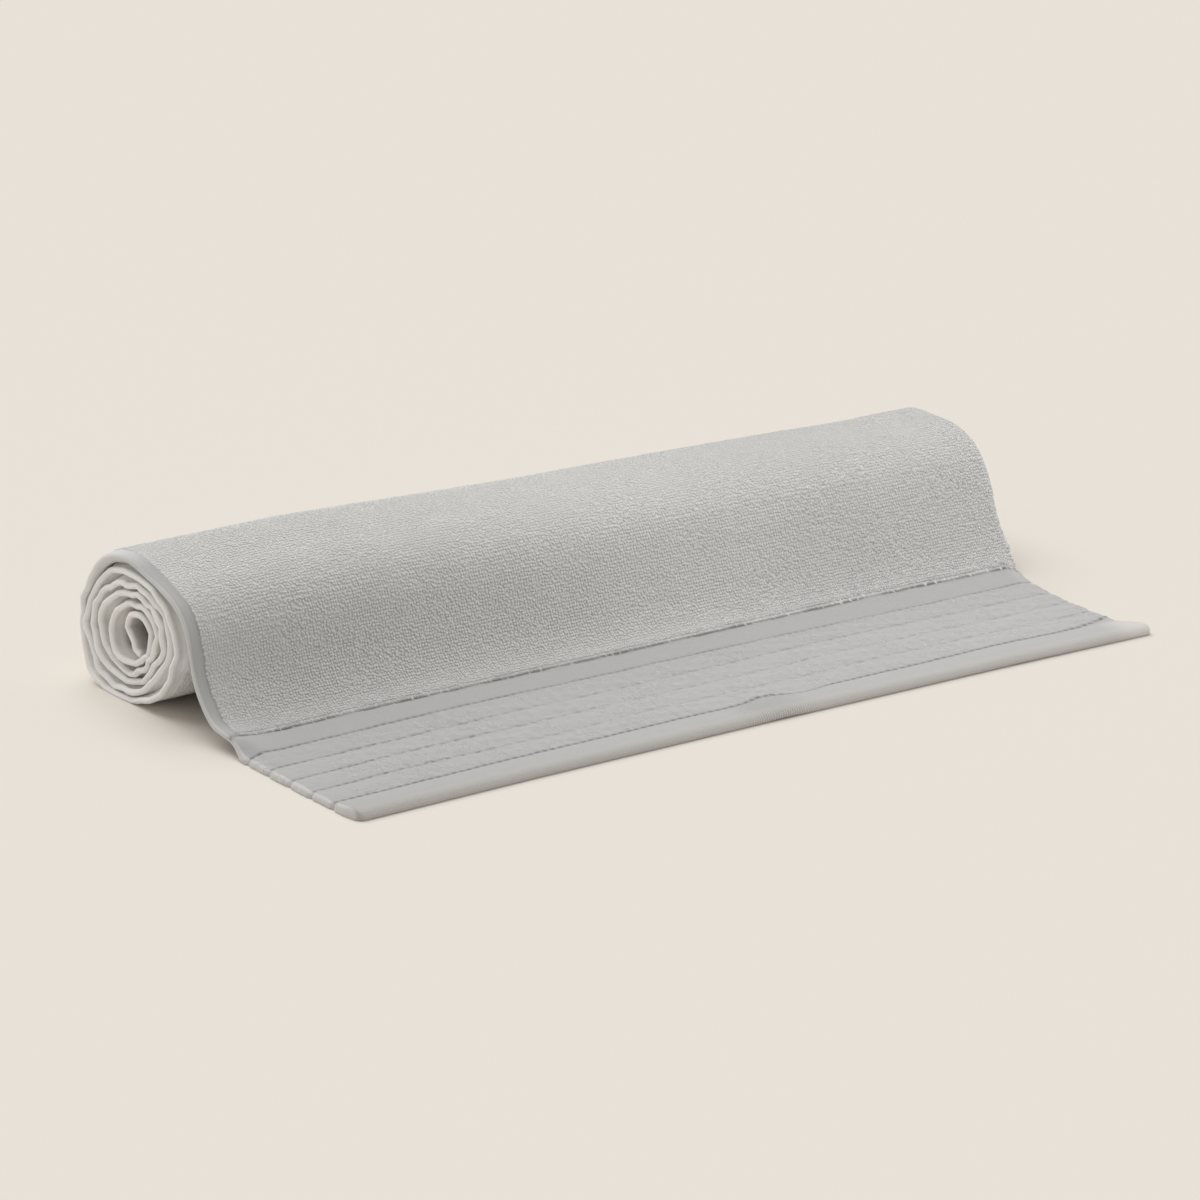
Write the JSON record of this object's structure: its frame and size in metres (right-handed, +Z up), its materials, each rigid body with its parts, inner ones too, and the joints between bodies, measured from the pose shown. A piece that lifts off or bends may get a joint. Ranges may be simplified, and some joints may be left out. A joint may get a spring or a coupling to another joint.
{
  "type": "rolled face towel",
  "caption": "Light grey terry face towel wound into a loose roll along its width, its banded border and sewn hem lying open in front.",
  "frame": {"origin": "on the surface that the towel lies on, under the middle of its bounding box", "axes": "+X along the roll, away from the end that shows its turns; +Y towards the back of the roll, so the open border lies towards -Y; +Z up"},
  "size_m": [0.512, 0.2106, 0.071],
  "materials": {
    "terry_cotton": "soft terry pile with flat woven border bands"
  },
  "bodies": {
    "root": {"towel_cloth": "terry_cotton"}
  },
  "joints": []
}
